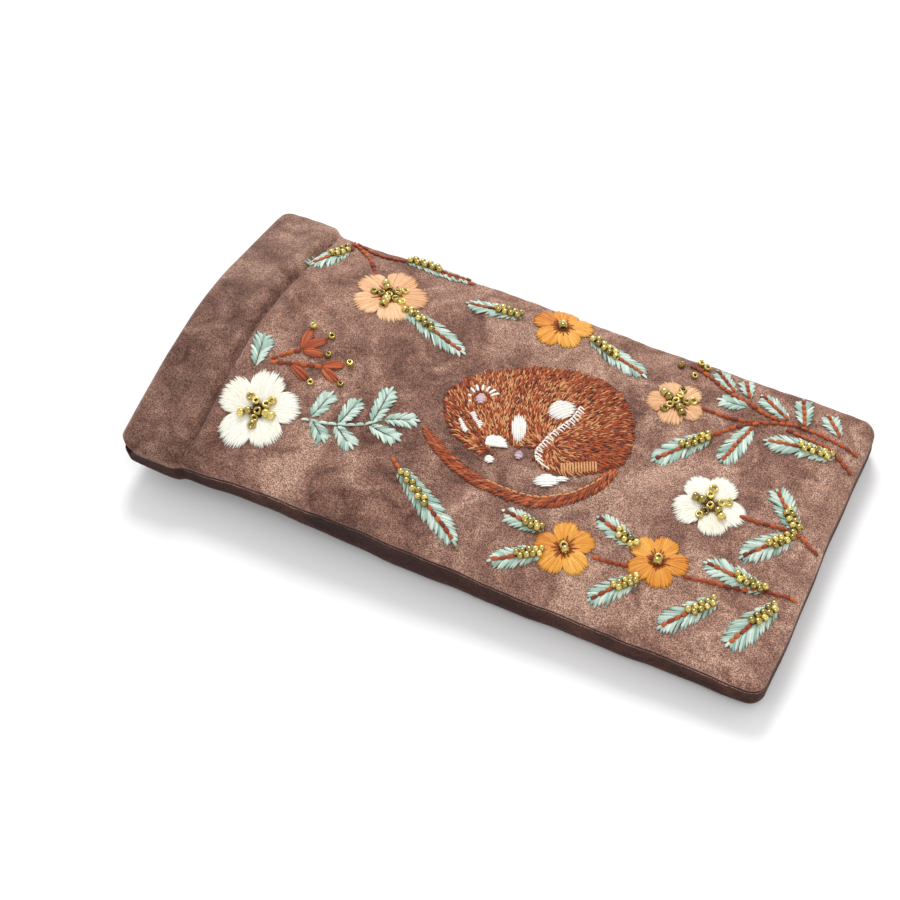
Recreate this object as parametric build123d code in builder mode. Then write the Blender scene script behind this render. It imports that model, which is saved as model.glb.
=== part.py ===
from build123d import *
import math
import os

os.makedirs("parts", exist_ok=True)

# Soft pouch glasses case, lying on its back with the embroidered face up.
# Millimetres. +X points to the closed end, -X to the mouth, +Z up, table at z = 0.
# Left is -Y and right is +Y, as seen from the front with the mouth at the top.

# ---- driving dimensions -------------------------------------------------------
LENGTH = 185.0
MOUTH_X = -LENGTH / 2
END_X = LENGTH / 2
BAND_WIDTH = 19.9
SEAM_GAP = 0.5
BODY_X = MOUTH_X + BAND_WIDTH + SEAM_GAP

VELVET = 1.1
PADDING = 2.0
LINING = 0.4

# Stations of the stuffed pouch: x, half width, crown height, seam height, height of the lower
# side edge, half width of the flat that lies on the table.
STATIONS = [
    (BODY_X, 46.2, 25.6, 12.0, 7.5, 12.0),
    (-45.0, 45.8, 23.4, 13.0, 7.0, 24.0),
    (-5.0, 45.8, 19.4, 12.5, 3.2, 33.0),
    (40.0, 45.9, 15.2, 10.4, 2.2, 35.0),
    (78.0, 46.0, 12.0, 8.8, 2.2, 35.0),
    (88.0, 44.6, 11.0, 8.4, 2.6, 33.0),
    (END_X, 40.0, 9.6, 7.6, 3.6, 27.0),
]
# Shape of the crowned top: parts of the half width, and how much of the crown is left there.
CROWN_PROFILE = [(0.3, 0.82), (0.58, 0.5), (0.84, 0.19)]
SIDE_TUCK = 0.95
EDGE_FILL = 1.9

# Squeeze frame: four half strips that form a flat diamond around the mouth.
HALF_STRIP = 45.5
REST_ANGLE = math.radians(12.5)
LIP_OUTER = 2.6
BACK_BEND_Z = LIP_OUTER
STRIP_WIDTH = 10.0
STRIP_NEAR = 0.95
STRIP_FAR = 1.35
BARREL_RADIUS = 1.35
PIN_RADIUS = 0.6
RUNNING_CLEARANCE = 0.05
BARREL_GAP = 0.15
PIN_OVERHANG = 0.4
PIN_HEAD_RADIUS = 1.1
PIN_HEAD_LENGTH = 0.4
KNUCKLE_ROOM = 2.2
END_WRAP_RADIUS = 3.9
MID_GAP = 0.15
FRONT_LIP_LENGTH = HALF_STRIP - 4.4
CHANNEL_SPARE = 0.7

# Embroidery: thread lies on the velvet, and beads stand on the thread.
THREAD = 0.5
THREAD_LIFT = 0.02
LEAF_LIFT = 0.45
PATCH_SAMPLES = 16
STEM_WIDTH = 0.9
STEM_HEIGHT = 0.4
STITCH_GAP = 0.3
BEAD_LIFT = 0.05
BEAD_HEIGHT = 1.3
BEAD_RADIUS = 0.9
BEAD_PITCH = 2.05
BEADS_PER_LEAF = 4
LEAF_BEAD_START = 1.6

# ---- embroidery places, x and y in millimetres ---------------------------------
# Flowers: centre x, centre y, radius, turn in degrees.
CREAM_FLOWERS = [(-59.5, -25.5, 11.2, 100), (60.5, -0.8, 9.6, 75)]
PEACH_FLOWERS = [(-46.0, 25.5, 10.6, 20), (40.2, 26.4, 8.2, 60)]
ORANGE_FLOWERS = [(1.6, 37.6, 8.4, 30), (31.4, -28.8, 7.6, 40), (54.2, -22.4, 7.8, 10)]
# Leaves: base x, base y, tip x, tip y, width.
BEADED_LEAVES = [
    (-66.1, 39.0, -71.2, 26.0, 7.0),
    (-35.6, 20.8, -17.3, 15.3, 6.4),
    (-49.2, 42.0, -28.0, 43.0, 4.4),
    (-9.7, 36.6, -26.5, 33.5, 5.6),
    (11.6, 37.8, 29.9, 30.8, 6.4),
    (-17.2, -25.4, 6.1, -39.0, 6.4),
    (23.4, -26.1, 12.3, -25.6, 5.0),
    (46.2, -19.9, 35.1, -16.9, 5.0),
    (24.6, -33.6, 14.7, -40.0, 5.4),
    (51.0, -30.8, 42.4, -40.0, 5.8),
    (82.5, -18.3, 64.6, -17.8, 6.0),
    (72.1, -25.8, 61.2, -39.6, 6.2),
    (86.0, -21.0, 78.3, -37.6, 7.0),
    (83.2, 1.6, 73.7, 12.0, 6.6),
    (83.4, 0.6, 72.5, -13.0, 6.6),
    (52.7, 20.5, 41.2, 4.9, 6.2),
    (84.3, 27.9, 65.1, 25.1, 6.4),
]
PLAIN_LEAVES = [
    (-66.0, -13.6, -68.3, -4.8, 6.0),
    (-45.2, -21.0, -43.6, -12.6, 5.0),
    (-44.3, -23.4, -38.1, -27.0, 4.6),
    (-37.6, -20.4, -35.4, -11.5, 5.0),
    (-37.9, -22.0, -30.8, -25.3, 4.8),
    (-29.8, -15.6, -29.5, -4.6, 5.0),
    (-29.0, -17.9, -20.5, -17.9, 4.8),
    (-27.2, -13.6, -18.7, -10.7, 4.6),
    (61.4, 27.6, 57.7, 12.5, 6.0),
    (52.8, 37.8, 45.9, 43.0, 4.4),
    (57.2, 37.4, 53.8, 43.4, 4.2),
    (57.0, 33.6, 49.2, 32.7, 4.4),
    (69.1, 34.8, 59.4, 39.4, 5.0),
    (73.8, 35.0, 70.2, 43.6, 4.8),
    (83.0, 35.6, 77.6, 41.2, 4.8),
]
# Stems: lists of corner points.
STEMS = [
    [(-66.3, 39.2), (-67.1, 43.0), (-57.5, 40.6), (-49.4, 41.9)],
    [(-66.6, 42.6), (-60.0, 38.0), (-56.4, 33.6)],
    [(40.0, -28.2), (44.8, -27.0)],
    [(63.2, -23.5), (74.9, -21.4), (90.0, -17.4)],
    [(71.0, -0.4), (75.4, 0.1), (83.2, 1.1), (89.8, -2.0)],
    [(49.4, 27.9), (61.9, 30.2), (72.8, 33.4), (89.4, 32.0)],
    [(53.1, 21.2), (61.6, 29.8)],
    [(70.4, 31.4), (82.4, 29.8), (89.4, 26.0)],
    [(39.2, 40.8), (50.6, 36.6), (58.2, 34.9), (72.4, 33.6)],
]
# Seed pods: stem end x, y, tip x, y, width; the first stitches of their two stems follow.
PODS = [
    (-57.0, -3.9, -57.7, 2.0, 2.8),
    (-55.2, -3.6, -52.0, 1.6, 2.8),
    (-55.2, -5.3, -50.6, -4.2, 2.4),
    (-48.6, -6.5, -44.2, -4.0, 2.8),
    (-48.7, -8.1, -43.6, -9.6, 2.8),
    (-56.2, -11.9, -51.4, -13.2, 2.8),
]
POD_STEMS = [
    [(-63.4, -10.6), (-59.6, -6.9), (-56.9, -5.0)],
    [(-62.4, -12.4), (-57.0, -10.3), (-49.7, -7.4)],
]
MOUSE_MIDDLE = (9.6, 4.0)
MOUSE_REACH = 24.0
# Sleeping mouse: outline of the curled body, middle line of the tail, and the pale stitches as
# ovals (centre x, centre y, length, width, turn in degrees).
MOUSE_OUTLINE = [
    (-15.2, -2.6), (-11.6, 10.2), (1.6, 21.4), (16.4, 24.4), (28.4, 19.2),
    (34.6, 7.6), (32.0, -3.4), (21.0, -10.2), (8.4, -14.4), (-6.4, -12.0),
]
TAIL_LINE = [(-16.4, -13.6), (-6.0, -18.4), (6.0, -21.4), (20.9, -18.9), (30.6, -10.6), (36.4, 0.6)]
TAIL_WIDTH = 2.6
PALE_OVALS = [
    (-7.1, 3.4, 6.0, 4.0, 20),
    (5.9, 0.0, 9.0, 3.6, 80),
    (13.6, 10.3, 9.0, 4.6, 30),
    (-4.6, -6.4, 4.4, 2.6, -40),
    (2.8, -10.2, 4.0, 2.6, 10),
    (24.8, -4.6, 6.4, 4.4, 60),
]
HIND_FOOT = (19.7, -13.6, 7.0, 3.0, 15)
# Beads on flowers: ring radius and count round each flower's heart, then single beads.
CREAM_BEAD_RING = (3.4, 6)
PEACH_BEAD_RING = (2.8, 5)
ORANGE_BEAD_RING = (1.1, 2)
LOOSE_BEADS = [
    (-58.2, 4.6), (-51.6, 3.2), (-49.3, -2.2), (-42.6, -2.4),
    (-41.3, -10.2), (-49.1, -13.4), (36.2, 39.6), (41.4, 43.4), (40.4, 37.6),
]
# Hem stitches: dash length, pitch and width along the casing seam.
HEM_DASH = 2.2
HEM_PITCH = 3.6
HEM_WIDTH = 0.6
HEM_HEIGHT = 0.4
HEM_X = BODY_X + 1.3
HEM_HALF_SPAN = 43.0


# ---- stuffed body ---------------------------------------------------------------
def height_on(line, y):
    """Height of a chain of points at a distance from the middle."""
    for (y0, z0), (y1, z1) in zip(line, line[1:]):
        if min(y0, y1) <= y <= max(y0, y1):
            return z0 + (z1 - z0) * (y - y0) / (y1 - y0)
    return line[-1][1]


def station_points(station, inset):
    """Right-hand points of the front, then of the back, moved in by inset."""
    x, half_width, crown, seam, low, flat = station
    top_line = [(0.0, crown)]
    top_line += [(part * half_width, seam + left * (crown - seam)) for part, left in CROWN_PROFILE]
    top_line += [(half_width, seam)]
    bottom_line = [(0.0, 0.0), (flat, 0.0), (SIDE_TUCK * half_width, low), (half_width, seam)]
    if inset == 0:
        return top_line + [bottom_line[2], bottom_line[1]]
    w = half_width - EDGE_FILL * inset
    front = [(0.0, crown - inset)]
    front += [(part * w, height_on(top_line, part * w) - inset) for part, left in CROWN_PROFILE]
    under = height_on(bottom_line, SIDE_TUCK * w) + inset
    edge = 0.5 * (height_on(top_line, w) - inset + height_on(bottom_line[:3], w) + inset)
    return front + [(w, edge), (SIDE_TUCK * w, under), (flat - inset, inset)]


def half_sections(x, inset):
    """Right-hand points of the front and of the back at x, straight between stations."""
    for left, right in zip(STATIONS, STATIONS[1:]):
        if x <= right[0]:
            break
    t = (x - left[0]) / (right[0] - left[0])
    pairs = zip(station_points(left, inset), station_points(right, inset))
    points = [(y0 + t * (y1 - y0), z0 + t * (z1 - z0)) for (y0, z0), (y1, z1) in pairs]
    seam_index = len(CROWN_PROFILE) + 1
    return points[: seam_index + 1], points[seam_index:]


def full_line(x, inset, side):
    """Points of one face of the pouch from its left seam to its right seam."""
    front, back = half_sections(x, inset)
    if side == "front":
        return [(-y, z) for y, z in reversed(front[1:])] + front
    return [(-y, z) for y, z in back] + list(reversed(back))


def band_points(x, outer, inner, side):
    """Closed ring sector between two insets of one face."""
    return full_line(x, outer, side) + list(reversed(full_line(x, inner, side)))


def top_height(x, y):
    """Height of the velvet at a place on the front."""
    front, back = half_sections(x, 0)
    return height_on(front, abs(y))


LAYERS = [
    ("panel", 0, VELVET),
    ("padding", VELVET, VELVET + PADDING),
    ("lining", VELVET + PADDING, VELVET + PADDING + LINING),
]
for layer, outer, inner in LAYERS:
    wall_x = END_X - inner
    stations = [station[0] for station in STATIONS if station[0] < wall_x] + [wall_x]
    for side in ("front", "back"):
        with BuildPart() as shell:
            for x in stations:
                with BuildSketch(Plane.YZ.offset(x)):
                    with BuildLine():
                        Polyline(*band_points(x, outer, inner, side), close=True)
                    make_face()
            loft(ruled=True)
            for x in (wall_x, END_X - outer):
                with BuildSketch(Plane.YZ.offset(x)):
                    with BuildLine():
                        Polyline(*full_line(x, outer, side), close=True)
                    make_face()
            loft(ruled=True)
        shell.part.label = f"{side}_{layer}"
        export_step(shell.part, f"parts/{side}_{layer}.step")


# ---- squeeze frame and casing -----------------------------------------------------
def lip_frame(side, lip):
    """Corner, direction and outward normal of one half lip in the YZ plane."""
    if lip == "back":
        corner = (0.0, BACK_BEND_Z)
        direction = (side * math.cos(REST_ANGLE), math.sin(REST_ANGLE))
        normal = (side * math.sin(REST_ANGLE), -math.cos(REST_ANGLE))
    else:
        corner = (0.0, BACK_BEND_Z + 2 * HALF_STRIP * math.sin(REST_ANGLE))
        direction = (side * math.cos(REST_ANGLE), -math.sin(REST_ANGLE))
        normal = (side * math.sin(REST_ANGLE), math.cos(REST_ANGLE))
    return corner, direction, normal


def lip_point(side, lip, along, out):
    """Point on a half lip, by its distance from the bend and from the pivot line."""
    corner, direction, normal = lip_frame(side, lip)
    y = corner[0] + along * direction[0] + out * normal[0]
    z = corner[1] + along * direction[1] + out * normal[1]
    return (y, z)


def lip_face(side, lip, along0, along1, out0, out1):
    """Draw a straight bar of a half lip in the current sketch's line."""
    corners = [
        lip_point(side, lip, along0, out0),
        lip_point(side, lip, along1, out0),
        lip_point(side, lip, along1, out1),
        lip_point(side, lip, along0, out1),
    ]
    Polyline(*corners, close=True)


band_middle = MOUTH_X + BAND_WIDTH / 2
strip_x0 = band_middle - STRIP_WIDTH / 2
channel_x0 = strip_x0 - CHANNEL_SPARE
channel_width = STRIP_WIDTH + 2 * CHANNEL_SPARE
barrel_length = (STRIP_WIDTH - 2 * BARREL_GAP) / 3
BARRELS = {
    "back": [strip_x0, strip_x0 + 2 * (barrel_length + BARREL_GAP)],
    "front": [strip_x0 + barrel_length + BARREL_GAP],
}
bore_radius = PIN_RADIUS + RUNNING_CLEARANCE
far = 2 * END_WRAP_RADIUS

for name, side in (("left", -1), ("right", 1)):
    pin_y, pin_z = lip_point(side, "back", HALF_STRIP, 0)

    # Back casing: a straight lip with a wrap that closes the band's end round the knuckles.
    with BuildPart() as back_casing:
        with BuildSketch(Plane.YZ.offset(MOUTH_X)):
            with Locations((pin_y, pin_z)):
                Circle(END_WRAP_RADIUS)
            with BuildLine():
                lip_face(side, "back", HALF_STRIP - far, HALF_STRIP, -far, -STRIP_NEAR + 0.7)
            make_face(mode=Mode.SUBTRACT)
            with BuildLine():
                lip_face(side, "back", MID_GAP, HALF_STRIP, 0.25, LIP_OUTER)
            make_face()
            with Locations((pin_y, pin_z)):
                Circle(KNUCKLE_ROOM, mode=Mode.SUBTRACT)
        extrude(amount=BAND_WIDTH)
        with BuildSketch(Plane.YZ.offset(channel_x0)):
            with BuildLine():
                lip_face(side, "back", 0.8, HALF_STRIP, STRIP_NEAR - 0.05, STRIP_FAR + 0.05)
            make_face()
        extrude(amount=channel_width, mode=Mode.SUBTRACT)
    back_casing.part.label = f"back_casing_{name}"
    export_step(back_casing.part, f"parts/back_casing_{name}.step")

    # Front casing: a straight lip that stops short of the end wrap. Its channel has room for
    # the strip to shift as the mouth opens and closes.
    with BuildPart() as front_casing:
        with BuildSketch(Plane.YZ.offset(MOUTH_X)):
            with BuildLine():
                lip_face(side, "front", MID_GAP, FRONT_LIP_LENGTH, 0.1, LIP_OUTER)
            make_face()
        extrude(amount=BAND_WIDTH)
        with BuildSketch(Plane.YZ.offset(channel_x0)):
            with BuildLine():
                lip_face(side, "front", 0.5, HALF_STRIP, 0.4, STRIP_FAR + 0.1)
            make_face()
        extrude(amount=channel_width, mode=Mode.SUBTRACT)
    front_casing.part.label = f"front_casing_{name}"
    export_step(front_casing.part, f"parts/front_casing_{name}.step")

    # Spring strips with rolled knuckles: two on the back strip, one between them on the front.
    for lip, start in (("back", 1.0), ("front", 2.6)):
        with BuildPart() as spring:
            with BuildSketch(Plane.YZ.offset(strip_x0)):
                with BuildLine():
                    lip_face(side, lip, start, HALF_STRIP - 2.0, STRIP_NEAR, STRIP_FAR)
                make_face()
            extrude(amount=STRIP_WIDTH)
            for barrel_x in BARRELS[lip]:
                with BuildSketch(Plane.YZ.offset(barrel_x)):
                    with BuildLine():
                        lip_face(side, lip, HALF_STRIP - 2.2, HALF_STRIP, STRIP_NEAR, STRIP_FAR)
                    make_face()
                    with Locations((pin_y, pin_z)):
                        Circle(BARREL_RADIUS)
                        Circle(bore_radius, mode=Mode.SUBTRACT)
                extrude(amount=barrel_length)
        spring.part.label = f"{lip}_spring_{name}"
        export_step(spring.part, f"parts/{lip}_spring_{name}.step")

    # Hinge pin with a small head at each end.
    with BuildPart() as hinge_pin:
        with BuildSketch(Plane.YZ.offset(strip_x0 - PIN_OVERHANG)):
            with Locations((pin_y, pin_z)):
                Circle(PIN_RADIUS)
        extrude(amount=STRIP_WIDTH + 2 * PIN_OVERHANG)
        for head_x in (strip_x0 - PIN_OVERHANG, strip_x0 + STRIP_WIDTH + PIN_OVERHANG - PIN_HEAD_LENGTH + 0.1):
            with BuildSketch(Plane.YZ.offset(head_x)):
                with Locations((pin_y, pin_z)):
                    Circle(PIN_HEAD_RADIUS)
            extrude(amount=PIN_HEAD_LENGTH - 0.1)
    hinge_pin.part.label = f"hinge_pin_{name}"
    export_step(hinge_pin.part, f"parts/hinge_pin_{name}.step")


# ---- embroidery -------------------------------------------------------------------
def cloth_plane(x, y, reach, lift=0.0):
    """Plane that lies on the velvet over a patch of the given radius."""
    step = 1.0
    rise_x = (top_height(x + step, y) - top_height(x - step, y)) / (2 * step)
    rise_y = (top_height(x, y + step) - top_height(x, y - step)) / (2 * step)
    normal = Vector(-rise_x, -rise_y, 1).normalized()
    clear = 0.0
    for i in range(PATCH_SAMPLES):
        angle = 2 * math.pi * i / PATCH_SAMPLES
        for radius in (0.5 * reach, reach):
            dx = radius * math.cos(angle)
            dy = radius * math.sin(angle)
            clear = max(clear, top_height(x + dx, y + dy) - top_height(x, y) - rise_x * dx - rise_y * dy)
    origin = Vector(x, y, top_height(x, y) + clear + THREAD_LIFT) + normal * lift
    return Plane(origin=origin, x_dir=(1, 0, rise_x), z_dir=normal)


def leaf_plane(leaf, lift=0.0):
    """Plane on the velvet under a leaf, about its middle."""
    base_x, base_y, tip_x, tip_y = leaf[:4]
    reach = math.hypot(tip_x - base_x, tip_y - base_y) / 2
    return cloth_plane((base_x + tip_x) / 2, (base_y + tip_y) / 2, reach, lift)


def draw_leaf(leaf):
    """Pointed oval about its own middle, from base to tip."""
    base_x, base_y, tip_x, tip_y, width = leaf
    half = math.hypot(tip_x - base_x, tip_y - base_y) / 2
    angle = math.degrees(math.atan2(tip_y - base_y, tip_x - base_x))
    with BuildSketch(mode=Mode.PRIVATE) as outline:
        with BuildLine():
            ThreePointArc((-half, 0), (0, width / 2), (half, 0))
            ThreePointArc((half, 0), (0, -width / 2), (-half, 0))
        make_face()
    with Locations(Location((0, 0, 0), (0, 0, angle))):
        add(outline.sketch)


def draw_flower(radius, turn):
    """Five round petals about the middle."""
    with PolarLocations(0.56 * radius, 5, start_angle=turn):
        Circle(0.44 * radius)
    Circle(0.45 * radius)


def draw_ovals(ovals, middle, mode=Mode.ADD):
    for x, y, length, width, turn in ovals:
        with Locations(Location((x - middle[0], y - middle[1], 0), (0, 0, turn))):
            Ellipse(length / 2, width / 2, mode=mode)


for name, flowers in (
    ("cream_flowers", CREAM_FLOWERS),
    ("peach_flowers", PEACH_FLOWERS),
    ("orange_flowers", ORANGE_FLOWERS),
):
    with BuildPart() as blossom:
        for x, y, radius, turn in flowers:
            with BuildSketch(cloth_plane(x, y, radius, LEAF_LIFT)):
                draw_flower(radius, turn)
            extrude(amount=THREAD)
    blossom.part.label = name
    export_step(blossom.part, f"parts/{name}.step")

with BuildPart() as mint_leaves:
    for leaf in BEADED_LEAVES + PLAIN_LEAVES:
        with BuildSketch(leaf_plane(leaf, LEAF_LIFT)):
            draw_leaf(leaf)
        extrude(amount=THREAD)
mint_leaves.part.label = "mint_leaves"
export_step(mint_leaves.part, "parts/mint_leaves.step")


def stem_bars(stems):
    """Straight bars of stems, as start and end places."""
    return [(*start, *end) for stem in stems for start, end in zip(stem, stem[1:])]


def draw_bar(bar, width):
    """Round-ended bar about its own middle."""
    start_x, start_y, end_x, end_y = bar
    angle = math.degrees(math.atan2(end_y - start_y, end_x - start_x))
    with Locations(Location((0, 0, 0), (0, 0, angle))):
        SlotOverall(math.hypot(end_x - start_x, end_y - start_y) - STITCH_GAP, width)


with BuildPart() as rust_stems:
    for bar in stem_bars(STEMS):
        with BuildSketch(leaf_plane(bar)):
            draw_bar(bar, STEM_WIDTH)
        extrude(amount=STEM_HEIGHT)
rust_stems.part.label = "rust_stems"
export_step(rust_stems.part, "parts/rust_stems.step")

with BuildPart() as rust_berries:
    for bar in stem_bars(POD_STEMS):
        with BuildSketch(leaf_plane(bar)):
            draw_bar(bar, STEM_WIDTH)
        extrude(amount=STEM_HEIGHT)
    for pod in PODS:
        with BuildSketch(leaf_plane(pod, LEAF_LIFT)):
            draw_leaf(pod)
        extrude(amount=THREAD)
rust_berries.part.label = "rust_berries"
export_step(rust_berries.part, "parts/rust_berries.step")

mouse_plane = cloth_plane(*MOUSE_MIDDLE, MOUSE_REACH)
with BuildPart() as mouse_body:
    with BuildSketch(mouse_plane):
        with BuildLine():
            Spline([(x - MOUSE_MIDDLE[0], y - MOUSE_MIDDLE[1]) for x, y in MOUSE_OUTLINE], periodic=True)
        make_face()
        draw_ovals(PALE_OVALS, MOUSE_MIDDLE, mode=Mode.SUBTRACT)
    extrude(amount=THREAD)
mouse_body.part.label = "mouse_body"
export_step(mouse_body.part, "parts/mouse_body.step")

with BuildPart() as mouse_highlights:
    with BuildSketch(mouse_plane):
        draw_ovals(PALE_OVALS + [HIND_FOOT], MOUSE_MIDDLE)
    extrude(amount=THREAD)
mouse_highlights.part.label = "mouse_highlights"
export_step(mouse_highlights.part, "parts/mouse_highlights.step")

with BuildPart() as mouse_tail:
    with BuildSketch(mouse_plane):
        tail = [(x - MOUSE_MIDDLE[0], y - MOUSE_MIDDLE[1]) for x, y in TAIL_LINE]
        for (x0, y0), (x1, y1) in zip(tail, tail[1:]):
            length = math.hypot(x1 - x0, y1 - y0) + TAIL_WIDTH
            angle = math.degrees(math.atan2(y1 - y0, x1 - x0))
            with Locations(Location(((x0 + x1) / 2, (y0 + y1) / 2, 0), (0, 0, angle))):
                SlotOverall(length, TAIL_WIDTH)
    extrude(amount=THREAD)
mouse_tail.part.label = "mouse_tail"
export_step(mouse_tail.part, "parts/mouse_tail.step")

# ---- seed beads ---------------------------------------------------------------------
def ring_places(turn, ring, count):
    """A ring of beads, with one in the middle when there is room."""
    places = [(0, 0)] if ring > 2 * BEAD_RADIUS else []
    for i in range(count):
        angle = math.radians(turn + 360 * i / count)
        places.append((ring * math.cos(angle), ring * math.sin(angle)))
    return places


# Each group of beads stands on one patch: its plane, its middle and the beads' places.
bead_groups = []
for leaf in BEADED_LEAVES:
    base_x, base_y, tip_x, tip_y, width = leaf
    length = math.hypot(tip_x - base_x, tip_y - base_y)
    along = [(LEAF_BEAD_START + i * BEAD_PITCH) / length - 0.5 for i in range(BEADS_PER_LEAF)]
    places = [(t * (tip_x - base_x), t * (tip_y - base_y)) for t in along]
    bead_groups.append((leaf_plane(leaf, LEAF_LIFT + THREAD + BEAD_LIFT), places))
for flowers, (ring, count) in (
    (CREAM_FLOWERS, CREAM_BEAD_RING),
    (PEACH_FLOWERS, PEACH_BEAD_RING),
    (ORANGE_FLOWERS, ORANGE_BEAD_RING),
):
    for x, y, radius, turn in flowers:
        plane = cloth_plane(x, y, radius, LEAF_LIFT + THREAD + BEAD_LIFT)
        bead_groups.append((plane, ring_places(turn, ring, count)))
for x, y in LOOSE_BEADS:
    bead_groups.append((cloth_plane(x, y, BEAD_RADIUS), [(0, 0)]))

with BuildPart() as seed_beads:
    for plane, places in bead_groups:
        with BuildSketch(plane):
            with Locations(*places):
                Circle(BEAD_RADIUS)
        extrude(amount=BEAD_HEIGHT)
seed_beads.part.label = "seed_beads"
export_step(seed_beads.part, "parts/seed_beads.step")

# ---- hem stitches ---------------------------------------------------------------------
dash_count = int(2 * HEM_HALF_SPAN / HEM_PITCH)
dash_sides = [(i - (dash_count - 1) / 2) * HEM_PITCH for i in range(dash_count)]

with BuildPart() as front_hem_stitches:
    for y in dash_sides:
        with BuildSketch(cloth_plane(HEM_X, y, HEM_DASH / 2)):
            Rectangle(HEM_WIDTH, HEM_DASH)
        extrude(amount=HEM_HEIGHT)
front_hem_stitches.part.label = "front_hem_stitches"
export_step(front_hem_stitches.part, "parts/front_hem_stitches.step")

# The back stitches lie under the raised edges of the mouth, on the sloping back face.
seam_line, back_line = half_sections(HEM_X, 0)
(low_y, low_z), (flat_y, flat_z) = back_line[1], back_line[2]
back_slope = (low_z - flat_z) / (low_y - flat_y)
with BuildPart() as back_hem_stitches:
    for y in dash_sides:
        if flat_y + HEM_PITCH < abs(y) < low_y - HEM_DASH:
            side = math.copysign(1, y)
            origin = (HEM_X, y, (abs(y) - flat_y) * back_slope - THREAD_LIFT)
            plane = Plane(origin=origin, x_dir=(1, 0, 0), z_dir=(0, side * back_slope, -1))
            with BuildSketch(plane):
                Rectangle(HEM_WIDTH, HEM_DASH)
            extrude(amount=HEM_HEIGHT)
back_hem_stitches.part.label = "back_hem_stitches"
export_step(back_hem_stitches.part, "parts/back_hem_stitches.step")
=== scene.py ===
import math

import bpy
import numpy as np
from mathutils import Matrix, Vector


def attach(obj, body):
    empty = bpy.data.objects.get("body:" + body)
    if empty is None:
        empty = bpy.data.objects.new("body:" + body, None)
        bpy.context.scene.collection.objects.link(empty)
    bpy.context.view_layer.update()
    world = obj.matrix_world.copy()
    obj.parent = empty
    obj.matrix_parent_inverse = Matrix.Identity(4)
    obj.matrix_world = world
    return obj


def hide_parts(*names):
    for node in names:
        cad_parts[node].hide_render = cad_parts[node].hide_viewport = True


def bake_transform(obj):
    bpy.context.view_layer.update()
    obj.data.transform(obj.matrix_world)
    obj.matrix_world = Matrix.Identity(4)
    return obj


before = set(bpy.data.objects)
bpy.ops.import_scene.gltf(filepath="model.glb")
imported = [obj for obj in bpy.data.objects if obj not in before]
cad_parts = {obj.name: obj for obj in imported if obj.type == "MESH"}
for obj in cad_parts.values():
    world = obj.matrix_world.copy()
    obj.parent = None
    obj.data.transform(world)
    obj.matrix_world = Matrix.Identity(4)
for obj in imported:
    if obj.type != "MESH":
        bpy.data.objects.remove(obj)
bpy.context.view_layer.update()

MM = 0.001

# Shape of the pouch, in millimetres, in the CAD frame: +X closed end, -X mouth.
MOUTH_X = -92.5
HEM_X = -72.9
END_X = 92.5
CORNER = 5.5
MOUTH_CORNER = 4.0
TUCK = 0.75
CURVE_X = [-92.5, -73, -45, -10, 30, 65, 85, 92.5]
CROWN = [25.2, 26.4, 23.4, 19.2, 16.0, 13.5, 11.8, 10.4]
SEAM = [13.2, 12.6, 13.6, 12.6, 10.2, 9.4, 8.6, 8.2]
LOW_EDGE = [8.6, 6.2, 5.4, 1.4, 0.5, 0.6, 0.8, 1.0]
FLAT = [0.0, 4.0, 20.0, 32.0, 38.0, 38.0, 37.0, 36.0]
WIDTH_X = [-92.5, -84, -75.5, -73, -69.5, -60, -20, 60, 85, 92.5]
WIDTH = [47.9, 48.4, 47.8, 46.6, 46.4, 45.9, 45.7, 46.0, 46.1, 46.1]
POWER_X = [-92.5, -72, -40, 0, 92]
POWER = [1.25, 1.3, 1.5, 2.0, 2.6]
BACK_ROLL = 2.2
RIDGE = 0.24
BAND_THICKNESS = 5.2
LINING_INSET = 3.4
# The right half's flap under the left one at the middle: its reach, and how deep it sinks.
FLAP = 3.6
FLAP_SINK = 0.6


def smooth_curve(x, xs, ys):
    """Monotone cubic through the points, held flat past its ends."""
    xs = np.asarray(xs, float)
    ys = np.asarray(ys, float)
    steps = np.diff(xs)
    slopes = np.diff(ys) / steps
    tangents = np.zeros(len(xs))
    for i in range(1, len(xs) - 1):
        if slopes[i - 1] * slopes[i] > 0:
            before = 2 * steps[i] + steps[i - 1]
            after = steps[i] + 2 * steps[i - 1]
            tangents[i] = (before + after) / (before / slopes[i - 1] + after / slopes[i])
    tangents[0] = slopes[0]
    tangents[-1] = slopes[-1]
    x = np.clip(x, xs[0], xs[-1])
    i = np.clip(np.searchsorted(xs, x, side="right") - 1, 0, len(steps) - 1)
    h = steps[i]
    t = (x - xs[i]) / h
    value = ys[i] * (2 * t**3 - 3 * t**2 + 1) + h * tangents[i] * (t**3 - 2 * t**2 + t)
    return value + ys[i + 1] * (3 * t**2 - 2 * t**3) + h * tangents[i + 1] * (t**3 - t**2)


def side_width(x):
    return smooth_curve(x, WIDTH_X, WIDTH)


def plan_width(x):
    """Half width of the outline, with the closed end's rounded corners."""
    over = np.clip(x - (END_X - CORNER), 0, CORNER)
    return side_width(x) - (CORNER - np.sqrt(CORNER**2 - over**2))


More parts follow.
